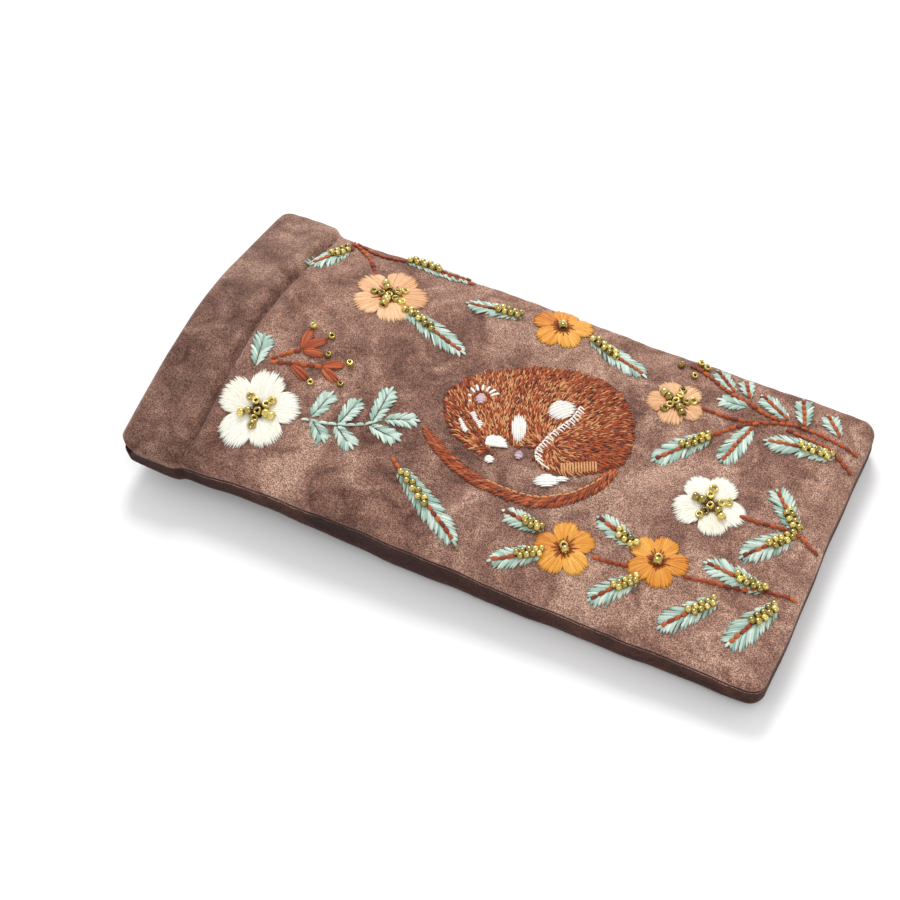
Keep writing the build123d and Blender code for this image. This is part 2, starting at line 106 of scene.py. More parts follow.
def tucked(x, y):
    """The cloth's edge turned in at the seam, and the outline's small waves."""
    out_x = np.clip(CORNER - (END_X - x), 0, CORNER)
    out_y = np.clip(CORNER - (side_width(x) - np.abs(y)), 0, CORNER)
    size = np.maximum(np.hypot(out_x, out_y), 1e-6)
    near = edge_distance(x, y)
    wave = 0.16 * np.sin(0.21 * x + 0.8 + 0.9 * np.sign(y)) + 0.08 * np.sin(0.47 * x + 0.33 * y)
    end_wave = 0.2 * np.sin(0.11 * y + 0.6) + 0.1 * np.sin(0.29 * y)
    pull = TUCK * np.exp(-((near / 0.45) ** 2)) + 0.35
    reach = np.exp(-((near / 9.0) ** 2))
    x = x - (out_x / size) * (pull * reach + (0.3 + end_wave) * reach)
    return x, y - np.sign(y) * (out_y / size) * (pull + wave) * reach


def edge_distance(x, y):
    """Distance in plan from the outline of the sides and the closed end."""
    to_end = END_X - x
    to_side = side_width(x) - np.abs(y)
    corner = CORNER - np.hypot(CORNER - np.minimum(to_end, CORNER), CORNER - np.minimum(to_side, CORNER))
    in_corner = (to_end < CORNER) & (to_side < CORNER)
    return np.clip(np.where(in_corner, corner, np.minimum(to_end, to_side)), 0, None)


def roll(distance, radius):
    """How far a rounded edge has dropped at a distance from it."""
    left = np.clip(radius - distance, 0, radius) / radius
    return 1 - np.sqrt(1 - left**2)


def band_share(x):
    """1 on the hem band, 0 on the body."""
    t = np.clip((HEM_X + 1.5 - x) / 3.0, 0, 1)
    return t * t * (3 - 2 * t)


def ripple(x, y):
    """Soft lumps of the wadding under the velvet."""
    lumps = 0.30 * np.sin(0.13 * x + 0.9) * np.sin(0.17 * y + 0.4)
    lumps += 0.22 * np.sin(0.24 * x - 0.19 * y + 1.3) + 0.14 * np.sin(0.31 * x + 0.37 * y)
    lumps += 0.09 * np.sin(0.62 * x - 0.5 * y + 2.0) * np.sin(0.45 * y + 0.21 * x)
    return lumps


def groove(x):
    """The sewn line that closes the casing, and the soft swell on each side of it."""
    line = 2.1 * np.exp(-(((x - HEM_X) / 0.9) ** 2))
    body_swell = 0.4 * np.exp(-(((x - HEM_X - 3.8) / 2.4) ** 2))
    band_swell = 0.6 * np.exp(-(((x - HEM_X + 4.0) / 2.6) ** 2))
    return line - (body_swell + band_swell)


def front_height(x, y):
    """Height of the velvet's front."""
    x = np.asarray(x, float)
    y = np.asarray(y, float)
    share = np.clip(np.abs(y) / side_width(x), 0, 1)
    seam = smooth_curve(x, CURVE_X, SEAM)
    crown = smooth_curve(x, CURVE_X, CROWN)
    radius = 2.6 + 0.8 * band_share(x)
    distance = edge_distance(x, y)
    power = smooth_curve(x, POWER_X, POWER)
    ridge = RIDGE**power
    fall = ((share**2 + RIDGE**2) ** (0.5 * power) - ridge) / ((1 + RIDGE**2) ** (0.5 * power) - ridge)
    height = seam + radius + (crown - seam - radius) * (1 - fall)
    height = height - 1.1 * np.exp(-distance / 7.0) * (1 - band_share(x))
    inner = 1 - np.exp(-((distance / 6.0) ** 2))
    pucker = 0.12 * np.sin(1.15 * x + 0.4 * np.sin(0.3 * x)) * np.exp(-distance / 2.5)
    pucker = pucker + 0.10 * np.sin(0.9 * y) * np.exp(-np.abs(x - HEM_X) / 2.2)
    fade = 0.35 + 0.65 * (1 - band_share(x))
    height = height - radius * roll(distance, radius) + fade * inner * ripple(x, y)
    return height + pucker - groove(x) * inner


def back_height(x, y):
    """Height of the velvet's back, which turns up into the sides."""
    x = np.asarray(x, float)
    y = np.asarray(y, float)
    width = side_width(x)
    flat = smooth_curve(x, CURVE_X, FLAT)
    low = smooth_curve(x, CURVE_X, LOW_EDGE)
    slope = np.clip((np.abs(y) - flat) / (width - flat), 0, 1)
    under = low * slope**1.15 + 0.12
    seam = smooth_curve(x, CURVE_X, SEAM)
    return under + (seam - under) * roll(edge_distance(x, y), BACK_ROLL)


# Meshes
def mesh_object(name, points, faces, normals=None, colours=None, uvs=None):
    """Smooth-shaded mesh object from points in millimetres."""
    mesh = bpy.data.meshes.new(name)
    mesh.from_pydata((np.asarray(points) * MM).tolist(), [], np.asarray(faces).tolist())
    mesh.update()
    mesh.polygons.foreach_set("use_smooth", np.ones(len(mesh.polygons), bool))
    if colours is not None:
        layer = mesh.color_attributes.new("stitch", "FLOAT_COLOR", "POINT")
        layer.data.foreach_set("color", np.asarray(colours, np.float32).ravel())
    if uvs is not None:
        layer = mesh.uv_layers.new(name="thread")
        corners = np.zeros(len(mesh.loops), np.int32)
        mesh.loops.foreach_get("vertex_index", corners)
        layer.data.foreach_set("uv", np.asarray(uvs, np.float32)[corners].ravel())
    if normals is not None:
        mesh.normals_split_custom_set_from_vertices(np.asarray(normals).tolist())
    obj = bpy.data.objects.new(name, mesh)
    bpy.context.scene.collection.objects.link(obj)
    return obj


def grid_faces(rows, columns, flip=False):
    i, j = np.meshgrid(np.arange(rows - 1), np.arange(columns - 1), indexing="ij")
    a = (i * columns + j).ravel()
    quads = np.stack([a, a + columns, a + columns + 1, a + 1], 1)
    return quads[:, ::-1] if flip else quads


def grid_normals(grid, flip=False):
    """Vertex normals of a grid of points from its own differences."""
    along = np.gradient(grid, axis=0)
    across = np.gradient(grid, axis=1)
    normal = np.cross(along, across)
    normal /= np.maximum(np.linalg.norm(normal, axis=2, keepdims=True), 1e-12)
    return -normal if flip else normal


def grid_object(name, x, y, z, flip):
    """Smooth mesh of a grid of points."""
    grid = np.stack([x, y, z], 2)
    normals = grid_normals(grid, flip).reshape(-1, 3)
    return mesh_object(name, grid.reshape(-1, 3), grid_faces(*x.shape, flip), normals)


def eased(count, start, end, ease_start=False, ease_end=False):
    """Sample places, closer together at the eased ends."""
    t = np.linspace(0, 1, count)
    if ease_start and ease_end:
        t = 0.5 - 0.5 * np.cos(math.pi * t)
    elif ease_end:
        t = np.sin(0.5 * math.pi * t)
    elif ease_start:
        t = 1 - np.cos(0.5 * math.pi * t)
    return start + (end - start) * t


def half_shares(count, side):
    """Shares of the half width from the middle to the seam. The right half runs on a little
    way under the left one, so that no gap opens at the middle as the mouth moves."""
    shares = eased(count, 0, 1, ease_end=True)
    if side > 0:
        return np.concatenate([np.linspace(-1, -0.2, 5), shares])
    return shares


def velvet_places(shares, x, side, face):
    """Sideways place and height of the velvet at shares of the half width."""
    y = side * np.where(shares >= 0, shares * plan_width(x), shares * FLAP)
    sink = FLAP_SINK * np.clip(-shares, 0, 1)
    if face == "front":
        return y, front_height(x, y) - sink
    return y, back_height(x, y) + sink


def panel_half(name, side, face, columns=96):
    """Half of the front or back velvet panel, from the hem to the closed end."""
    shares = half_shares(columns, side)
    xs = np.concatenate([eased(36, HEM_X, -55, ease_start=True)[:-1], np.linspace(-55, 60, 110)[:-1],
                         eased(60, 60, END_X, ease_end=True)])
    x = np.repeat(xs[:, None], len(shares), 1)
    y, z = velvet_places(shares, x, side, face)
    x, y = tucked(x, y)
    return grid_object(name, x, y, z, (side < 0) != (face == "back"))


def band_half(name, side, face, columns=72):
    """Half lip of the hem band: outer face, rolled mouth edge and inner face."""
    fold = BAND_THICKNESS / 2
    shares = half_shares(columns, side)
    outer_x = np.linspace(HEM_X, MOUTH_X + fold, 34)
    turn = np.linspace(0, math.pi, 19)[1:-1]
    fold_x = MOUTH_X + fold - fold * np.sin(turn)
    inner_x = np.linspace(MOUTH_X + fold, HEM_X + 4.0, 16)
    xs = np.concatenate([outer_x, fold_x, inner_x])
    folded = fold - fold * np.cos(turn)
    depth = np.concatenate([np.zeros(len(outer_x)), folded, np.full(len(inner_x), BAND_THICKNESS)])
    x = np.repeat(xs[:, None], len(shares), 1)
    y, z = velvet_places(shares, x, side, face)
    over = np.clip(np.abs(y) - (plan_width(x) - MOUTH_CORNER), 0, MOUTH_CORNER)
    rounding = MOUTH_CORNER - np.sqrt(MOUTH_CORNER**2 - over**2)
    toward_mouth = np.clip((HEM_X - x) / (HEM_X - MOUTH_X), 0, 1)
    x, y = tucked(x, y)
    x = x + rounding * toward_mouth
    # Inward normal of the section, in the YZ plane.
    dy = np.gradient(y, axis=1)
    dz = np.gradient(z, axis=1)
    size = np.maximum(np.hypot(dy, dz), 1e-9)
    turn_sign = side if face == "front" else -side
    y = y + turn_sign * depth[:, None] * dz / size
    z = z - turn_sign * depth[:, None] * dy / size
    return grid_object(name, x, y, z, (side > 0) != (face == "back"))


def lining_half(name, side, face, columns=28):
    """Half of the lining, inside the wadding."""
    shares = eased(columns, 0, 1, ease_end=True)
    end_x = END_X - LINING_INSET
    xs = np.concatenate([np.linspace(HEM_X + 0.5, 70, 60)[:-1], eased(14, 70, end_x, ease_end=True)])
    x = np.repeat(xs[:, None], len(shares), 1)
    width = plan_width(x) - 1.6 * LINING_INSET
    y = side * shares * width
    top = front_height(x, y) - LINING_INSET
    under = back_height(x, y) + LINING_INSET
    middle = 0.5 * (top + under)
    edge = np.clip(np.minimum(width - np.abs(y), end_x - x) / 4.0, 0, 1)
    z = np.maximum(top, middle + 0.05) if face == "front" else np.minimum(under, middle - 0.05)
    z = middle + (z - middle) * np.sqrt(edge)
    return grid_object(name, x, y, z, (side > 0) != (face == "back"))


# Embroidery thread: every stitch is a small rounded strand laid on the velvet.
RINGS = np.array([0.0, 0.05, 0.18, 0.5, 0.82, 0.95, 1.0])
SWELL = np.array([0.10, 0.55, 0.92, 1.0, 0.92, 0.55, 0.10])
SIDES = 7
FUR_SIDES = 5
LEAF_FULLNESS = 0.88
random = np.random.default_rng(11)


class Stitches:
    """Collects stitches, then makes one mesh of them."""

    def __init__(self, sides=SIDES):
        self.rows = []
        self.sides = sides

    def add(self, x0, y0, x1, y1, width, tone=None, lift=0.12, loft=0.28, bow=0.0):
        tone = random.uniform(0, 1) if tone is None else tone
        self.rows.append((x0, y0, x1, y1, width, tone, lift, loft, bow))

    def build(self, name, height=front_height, outward=1):
        rows = np.array(self.rows)
        sides = self.sides
        x0, y0, x1, y1, width, tone, lift, loft, bow = rows.T
        count = len(rows)
        t = RINGS[None, :]
        length = np.maximum(np.hypot(x1 - x0, y1 - y0), 1e-6)
        ux, uy = (x1 - x0) / length, (y1 - y0) / length
        arch = np.sin(math.pi * t)
        cx = x0[:, None] + (x1 - x0)[:, None] * t - uy[:, None] * bow[:, None] * arch
        cy = y0[:, None] + (y1 - y0)[:, None] * t + ux[:, None] * bow[:, None] * arch
        base = height(cx, cy)
        slope = (height(cx - uy[:, None] * 0.3, cy + ux[:, None] * 0.3) - base) / 0.3
        rise = np.sqrt(np.sin(math.pi * np.clip(t, 0.02, 0.98)))
        cz = base + outward * (lift[:, None] - 0.25 + (loft[:, None] + 0.25) * rise)
        half = 0.5 * width[:, None] * SWELL[None, :]
        turn = np.linspace(0, 2 * math.pi, sides, endpoint=False)[None, None, :]
        side_way = half[:, :, None] * np.cos(turn)
        up = 0.62 * half[:, :, None] * np.sin(turn) + slope[:, :, None] * side_way
        px = cx[:, :, None] - uy[:, None, None] * side_way
        py = cy[:, :, None] + ux[:, None, None] * side_way
        pz = cz[:, :, None] + up
        points = np.stack([px, py, pz], 3).reshape(-1, 3)
        rings = len(RINGS)
        start = np.arange(count)[:, None, None] * rings * sides
        ring = np.arange(rings - 1)[None, :, None] * sides
        j = np.arange(sides)[None, None, :]
        a = start + ring + j
        b = start + ring + (j + 1) % sides
        quads = np.stack([a, b, b + sides, a + sides], 3).reshape(-1, 4)
        # Colour attribute: tone, place along the stitch and height round the strand. The last two drive the
        # thread's painted shade at the stitch ends and on the strand's underside.
        shade = np.zeros((count, rings, sides, 4))
        shade[..., 0] = tone[:, None, None]
        shade[..., 1] = t[:, :, None]
        shade[..., 2] = (0.5 + 0.5 * np.sin(turn))
        shade[..., 3] = 1
        uvs = np.zeros((count, rings, sides, 2))
        uvs[..., 0] = (t * length[:, None])[:, :, None] + 7.3 * tone[:, None, None]
        uvs[..., 1] = np.cos(turn) * 0.5 * width[:, None, None] + 3.1 * tone[:, None, None]
        return mesh_object(name, points, quads, None, shade.reshape(-1, 4), uvs.reshape(-1, 2))


def lengths_along(path):
    """Length of a path from its start to each of its points."""
    return np.concatenate([[0], np.cumsum(np.hypot(*np.diff(path, axis=0).T))])


def back_stitch(stitches, path, dash, width, tone=None, lift=0.1):
    """Short stitches end to end along a smooth path."""
    path = np.array(path, float)
    steps = lengths_along(path)
    fine = np.linspace(0, steps[-1], 60)
    if len(path) > 2:
        xs, ys = smooth_curve(fine, steps, path[:, 0]), smooth_curve(fine, steps, path[:, 1])
    else:
        xs, ys = np.interp(fine, steps, path[:, 0]), np.interp(fine, steps, path[:, 1])
    count = max(1, round(steps[-1] / dash))
    ends = np.linspace(0, steps[-1], count + 1)
    for a, b in zip(ends, ends[1:]):
        jitter = random.uniform(-0.12, 0.12, 4)
        over = 0.05
        start_x, start_y = np.interp(a - over, fine, xs), np.interp(a - over, fine, ys)
        end_x, end_y = np.interp(b + over, fine, xs), np.interp(b + over, fine, ys)
        stitches.add(start_x + jitter[0], start_y + jitter[1], end_x + jitter[2], end_y + jitter[3],
                     width * random.uniform(0.88, 1.12), tone, lift, 0.34)


def heading(x0, y0, x1, y1):
    """Length and unit direction from one point to another."""
    length = math.hypot(x1 - x0, y1 - y0)
    return length, (x1 - x0) / length, (y1 - y0) / length


def fishbone_leaf(stitches, leaf, lean=40.0, pitch=0.92, thread=0.74):
    """Leaf of slanting stitches on both sides of its middle line, with a ragged edge."""
    base_x, base_y, tip_x, tip_y, width = leaf
    width *= LEAF_FULLNESS
    length, ux, uy = heading(base_x, base_y, tip_x, tip_y)
    count = int(length / pitch)
    for side in (-1, 1):
        for i in range(count):
            t = (i + 0.2 + 0.25 * side) / count
            profile = 0.5 * width * math.sin(math.pi * min(0.97, 0.16 + 0.8 * max(t, 0))) ** 0.7
            angle = math.radians(lean - 10 * t + random.uniform(-4, 4))
            reach = max(1.5, profile / math.sin(angle) * random.uniform(0.86, 1.14))
            dx = ux * math.cos(angle) - side * uy * math.sin(angle)
            dy = uy * math.cos(angle) + side * ux * math.sin(angle)
            along = t * (length - 2.2)
            sx = base_x + ux * along - uy * side * 0.12
            sy = base_y + uy * along + ux * side * 0.12
            stitches.add(sx, sy, sx + dx * reach, sy + dy * reach, thread * random.uniform(0.85, 1.2),
                         lift=0.12 + 0.04 * (i % 2), bow=-0.04 * side * reach)
    neck = length - 3.0
    stitches.add(base_x + ux * neck, base_y + uy * neck, tip_x, tip_y, thread * 1.15, lift=0.22)


def satin_flower(stitches, x, y, radius, turn, petals=5, thread=0.5, heart=0.14):
    """Round petals of close radial stitches, with notches between the petals."""
    step = 360 / petals
    for petal in range(petals):
        middle = turn + petal * step + random.uniform(-4, 4)
        size = radius * random.uniform(0.94, 1.05)
        petal_tone = random.uniform(0.3, 0.75)
        count = int(size * 3.4)
        for i in range(count):
            s = 2 * (i + 0.5) / count - 1
            edge = size * (0.60 + 0.40 * max(0.0, 1 - abs(s) ** 2.4) ** 0.5)
            angle = math.radians(middle + s * (0.5 * step - 1.5) + random.uniform(-0.8, 0.8))
            start_angle = math.radians(middle + s * 0.36 * step)
            inner = radius * (heart + random.uniform(0, 0.10))
            outer = edge * random.uniform(0.95, 1.03)
            stitches.add(x + inner * math.cos(start_angle), y + inner * math.sin(start_angle),
                         x + outer * math.cos(angle), y + outer * math.sin(angle),
                         thread * random.uniform(0.85, 1.25), petal_tone + random.uniform(-0.25, 0.25),
                         lift=0.16 + 0.05 * (i % 2), loft=0.36, bow=0.05 * s * size)


def seed_pod(stitches, pod):
    """Teardrop of long stitches that fan out from the stem."""
    base_x, base_y, tip_x, tip_y, width = pod
    length, ux, uy = heading(base_x, base_y, tip_x, tip_y)
    for i in range(9):
        s = (i - 4) / 4
        end = length * (1 - 0.16 * s * s) * random.uniform(0.96, 1.03)
        out = s * 0.4 * width
        stitches.add(base_x - uy * out * 0.15, base_y + ux * out * 0.15,
                     base_x + ux * end - uy * out * 0.8, base_y + uy * end + ux * out * 0.8,
                     0.62, lift=0.16 + 0.06 * (i % 2), loft=0.4, bow=0.32 * out)


# Places, in millimetres. Flowers: centre, radius, turn. Leaves: base, tip, width.
CREAM_FLOWERS = [(-59.5, -25.6, 11.8, 100), (60.5, -0.8, 10.0, 75)]
PEACH_FLOWERS = [(-46.0, 25.5, 11.0, 20), (40.2, 26.6, 8.4, 60)]
ORANGE_FLOWERS = [(1.6, 37.8, 8.8, 30), (31.4, -28.8, 8.0, 40), (54.4, -22.4, 8.2, 10)]
BEADED_LEAVES = [
    (-66.1, 39.5, -71.4, 25.6, 7.6),
    (-40.4, 22.6, -17.3, 15.3, 7.2),
    (-49.2, 42.2, -27.5, 43.2, 5.4),
    (-9.7, 36.4, -26.5, 33.5, 6.4),
    (10.0, 38.0, 29.9, 30.8, 7.0),
    (-17.2, -25.4, 6.1, -39.5, 7.0),
    (24.5, -26.4, 12.3, -25.7, 6.0),
    (48.2, -20.8, 35.1, -16.9, 6.2),
    (27.4, -31.7, 14.7, -40.2, 6.4),
    (52.3, -28.7, 42.4, -40.1, 6.8),
    (82.5, -18.3, 64.6, -17.8, 7.0),
    (72.1, -25.8, 61.2, -39.9, 7.2),
    (86.0, -20.5, 78.3, -37.6, 8.0),
    (83.2, 1.3, 73.7, 12.0, 7.6),
    (83.4, 0.8, 72.5, -13.0, 7.2),
    (52.7, 20.5, 41.2, 4.9, 7.0),
    (84.3, 27.9, 65.1, 25.1, 7.2),
]
RIBBED_LEAVES = [
    (61.4, 28.3, 57.7, 12.5, 7.0),
    (52.8, 37.3, 45.3, 43.5, 5.2),
    (57.2, 37.0, 53.8, 43.4, 5.0),
    (69.1, 34.6, 59.4, 39.6, 6.0),
    (73.8, 34.6, 70.2, 44.0, 5.8),
    (83.5, 35.0, 77.6, 41.4, 5.8),
]
PLAIN_LEAVES = [
    (-66.0, -14.6, -68.3, -4.4, 6.8),
    (-45.2, -21.9, -43.4, -12.2, 5.8),
    (-44.3, -22.9, -38.1, -27.4, 5.4),
    (-37.6, -20.9, -35.4, -11.1, 5.8),
    (-37.9, -21.6, -30.6, -25.8, 5.6),
    (-29.8, -16.6, -29.5, -4.2, 5.8),
    (-29.9, -17.6, -20.1, -18.3, 5.4),
    (-27.2, -14.1, -18.3, -10.5, 5.2),
    (57.7, 33.8, 49.2, 32.7, 5.2),
]
SPRIG_STEM = [(-47.5, -23.8), (-39.7, -21.6), (-32.4, -18.7), (-27.6, -14.4)]
STEMS = [
    [(-65.6, 38.6), (-67.1, 43.6), (-62.0, 42.2), (-57.5, 41.0), (-48.6, 42.2), (-38.0, 41.8),
     (-28.0, 42.6)],
    [(-66.8, 43.0), (-60.0, 38.8), (-53.0, 31.0)],
    [(38.8, -28.2), (43.6, -27.7), (48.2, -26.6)],
    [(61.9, -23.9), (68.6, -22.4), (75.4, -21.0), (80.6, -18.9), (84.0, -18.2), (90.1, -17.0)],
    [(68.0, -0.8), (75.0, 0.1), (82.3, 0.9), (90.2, -2.1)],
    [(46.6, 27.8), (54.9, 28.1), (61.9, 30.2), (72.8, 33.7), (81.5, 33.1), (89.7, 31.9)],
    [(51.6, 19.4), (56.4, 25.0), (62.6, 30.4)],
    [(69.6, 31.0), (82.4, 29.8), (85.0, 28.6), (90.0, 25.7)],
    [(38.4, 41.4), (43.5, 40.4), (50.6, 37.0), (58.2, 35.0), (64.5, 33.6), (72.8, 33.7)],
    [(-20.5, -23.6), (-17.0, -25.6)],
]
POD_STEMS = [
    [(-63.0, -11.2), (-60.2, -8.0), (-57.0, -4.9)],
    [(-62.8, -12.4), (-59.2, -10.9), (-54.0, -8.6), (-49.6, -7.2)],
]
PODS = [
    (-57.0, -4.8, -57.8, 2.4, 3.6),
    (-56.8, -4.8, -52.4, 1.6, 3.6),
    (-56.6, -5.0, -50.8, -3.9, 3.2),
    (-49.8, -7.1, -44.4, -3.5, 3.2),
    (-49.6, -7.3, -43.8, -9.4, 3.2),
    (-57.4, -10.4, -51.4, -12.2, 3.2),
]
LOOSE_BEADS = [
    (-57.9, 3.5), (-51.9, 2.7), (-49.9, -3.2), (-43.6, -2.7), (-42.8, -9.8), (-50.4, -12.6),
    (36.2, 40.1), (40.8, 43.4), (42.9, 42.4), (40.9, 38.0),
]


def outward_from(x, y):
    """Unit normal of the velvet's front."""
    step = 0.4
    dx = (front_height(x + step, y) - front_height(x - step, y)) / (2 * step)
    dy = (front_height(x, y + step) - front_height(x, y - step)) / (2 * step)
    normal = np.array([-float(dx), -float(dy), 1.0])
    return normal / np.linalg.norm(normal)


BEAD_AROUND = 18
BEAD_ACROSS = 10


class Beads:
    """Collects small glass rings, then makes one mesh of them."""

    def __init__(self):
        self.places = []

    def add(self, x, y, angle=None, size=1.0, lift=0.75):
        """angle turns a bead lying on its side; without one its hole points out."""
        self.places.append((x, y, angle, size * random.uniform(0.92, 1.06), lift))

    def build(self, name):
        around = np.linspace(0, 2 * math.pi, BEAD_AROUND, endpoint=False)
        across = np.linspace(0, 2 * math.pi, BEAD_ACROSS, endpoint=False)
        u, v = np.meshgrid(around, across, indexing="ij")
        radius = 0.68 + 0.36 * np.cos(v)
        ring = np.stack([radius * np.cos(u), radius * np.sin(u), 0.78 * np.sin(v)], 2).reshape(-1, 3)
        i, j = np.meshgrid(np.arange(BEAD_AROUND), np.arange(BEAD_ACROSS), indexing="ij")
        next_i, next_j = (i + 1) % BEAD_AROUND, (j + 1) % BEAD_ACROSS
        corners = [(i, j), (next_i, j), (next_i, next_j), (i, next_j)]
        quads = np.stack([a * BEAD_ACROSS + b for a, b in corners], 2).reshape(-1, 4)
        points, faces, shades = [], [], []
        for x, y, angle, size, lift in self.places:
            normal = outward_from(x, y)
            if angle is None:
                axis = normal + random.uniform(-0.28, 0.28, 3)
            else:
                axis = np.array([math.cos(angle), math.sin(angle), 0.0])
                axis = axis - normal * axis.dot(normal) + random.uniform(-0.12, 0.12, 3)
            axis /= np.linalg.norm(axis)
            helper = np.cross(axis, [0.31, 0.77, 0.55])
            helper /= np.linalg.norm(helper)
            frame_axes = np.stack([helper, np.cross(axis, helper), axis])
            share = 0.7 if angle is None else 1.15
            centre = np.array([x, y, float(front_height(x, y))]) + normal * lift * share
            faces.append(quads + len(points) * len(ring))
            points.append(ring * size @ frame_axes + centre)
            shades.append(np.tile([random.uniform(0, 1), 0.5, 0.5, 1.0], (len(ring), 1)))
        points, faces, shades = (np.concatenate(rows) for rows in (points, faces, shades))
        return mesh_object(name, points, faces, None, shades)


def satin_oval(stitches, x, y, long, wide, degrees, thread=0.55, tone=None, lift=0.3):
    """Oval filled with close parallel stitches along its length."""
    angle = math.radians(degrees)
    ux, uy = math.cos(angle), math.sin(angle)
    count = max(3, int(wide / (thread * 0.8)))
    for i in range(count):
        s = 2 * (i + 0.5) / count - 1
        reach = 0.5 * long * math.sqrt(1 - s * s) * random.uniform(0.94, 1.06)
        out = 0.5 * wide * s
        stitches.add(x - ux * reach - uy * out, y - uy * reach + ux * out,
                     x + ux * reach - uy * out, y + uy * reach + ux * out,
                     thread, tone + random.uniform(-0.25, 0.2), lift + 0.1 * (i % 2), 0.3)


def rope(stitches, path, width, pitch, thread, lean=28.0):
    """Thick cord of slanting stitches along a smooth path, thinner at both ends."""
    path = np.array(path, float)
    steps = lengths_along(path)
    total = steps[-1]
    count = int(total / pitch)

    def point(at):
        return np.array([smooth_curve(at, steps, path[:, 0]), smooth_curve(at, steps, path[:, 1])])

    for i in range(count):
        for row in (-0.5, 0.0, 0.5):
            at = (i + random.uniform(0, 1)) / count * total
            x, y = point(at)
            ahead_x, ahead_y = point(at + 0.5) - point(at - 0.5)
            size = math.hypot(ahead_x, ahead_y)
            ux, uy = ahead_x / size, ahead_y / size
            local = width * min(1.0, 0.55 + 0.12 * min(at, total - at))
            turn = math.radians(lean + random.uniform(-12, 12))
            dx, dy = ux * math.cos(turn) - uy * math.sin(turn), ux * math.sin(turn) + uy * math.cos(turn)
            x, y = x - uy * row * local * 0.62, y + ux * row * local * 0.62
            reach = local * random.uniform(0.5, 0.68)
            tone = random.uniform(0.0, 0.62)
            lift = 0.18 + 0.16 * (1 - abs(row) * 2) + random.uniform(0, 0.08)
            stitches.add(x - dx * reach, y - dy * reach, x + dx * reach, y + dy * reach, thread, tone, lift)


# The sleeping mouse.
MOUSE_OUTLINE = [
    (-15.4, -0.7), (-15.1, 3.5), (-13.3, 8.2), (-9.6, 12.0), (-4.9, 15.8), (0.5, 20.1), (6.6, 22.8),
    (12.8, 24.3), (19.3, 23.9), (24.8, 22.4), (28.8, 19.4), (31.9, 15.0), (33.9, 10.2), (35.1, 5.1),
    (34.5, 0.4), (30.7, -4.1), (26.1, -7.5), (21.8, -9.5), (16.9, -9.5), (13.3, -7.3), (12.8, -4.3),
    (10.1, -5.1), (7.5, -6.3), (4.5, -4.6), (1.0, -7.6), (1.1, -12.2), (-2.6, -12.2), (-7.9, -10.6),
    (-11.6, -7.6), (-14.0, -4.4),
]
TAIL = [
    (-16.0, -12.3), (-9.8, -16.1), (-2.6, -18.9), (4.8, -20.5), (11.1, -20.9), (17.7, -20.0),
    (23.8, -17.2), (29.0, -12.3), (32.4, -7.0), (34.3, -1.8),
]
HAUNCH_EDGE = [
    (17.7, 13.0), (17.3, 8.1), (15.6, 4.3), (13.6, -1.2), (13.0, -4.7), (13.5, -7.2), (16.8, -9.3),
]
EAR = (-7.2, 3.5)
EAR_RAYS = [
    (-9.9, 1.2), (-11.0, 3.1), (-11.3, 5.6), (-10.4, 7.4), (-8.6, 8.2), (-6.6, 8.4), (-4.7, 8.0),
    (-3.2, 7.2),
]
EYE = [(-9.6, -2.6), (-7.6, -4.2), (-5.6, -5.9), (-3.2, -7.6), (-1.0, -9.2), (1.4, -10.6), (3.4, -11.6)]
NOSE = (3.0, -10.0)
HAUNCH = (17.0, -2.0)
FUR_BOX = (-16, 36, -13, 25)
# Pitch, width and length of the stitches of the lower and upper fur.
FUR_LAYERS = [(1.1, 0.8, 2.3), (0.64, 0.37, 2.3)]


def inside(x, y, outline):
    """Which points lie inside a closed outline."""
    result = np.zeros(x.shape, bool)
    for (ax, ay), (bx, by) in zip(outline, outline[1:] + outline[:1]):
        crosses = (ay > y) != (by > y)
        result ^= crosses & (x < (bx - ax) * (y - ay) / (by - ay + 1e-9) + ax)
    return result


def fur_direction(x, y):
    """Fur runs from the nose over the head, and fans out from the haunch over the body."""
    head_x, head_y = x - NOSE[0], y - NOSE[1]
    body_x, body_y = x - HAUNCH[0], y - HAUNCH[1]
    share = np.clip((x + 0.35 * y + 1) / 9, 0, 1)
    head_size = np.hypot(head_x, head_y) + 0.1
    body_size = np.hypot(body_x, body_y) + 0.1
    dx = (1 - share) * head_x / head_size + share * (body_x / body_size + 0.55)
    dy = (1 - share) * head_y / head_size + share * (body_y / body_size + 0.15)
    size = np.hypot(dx, dy) + 1e-6
    return dx / size, dy / size


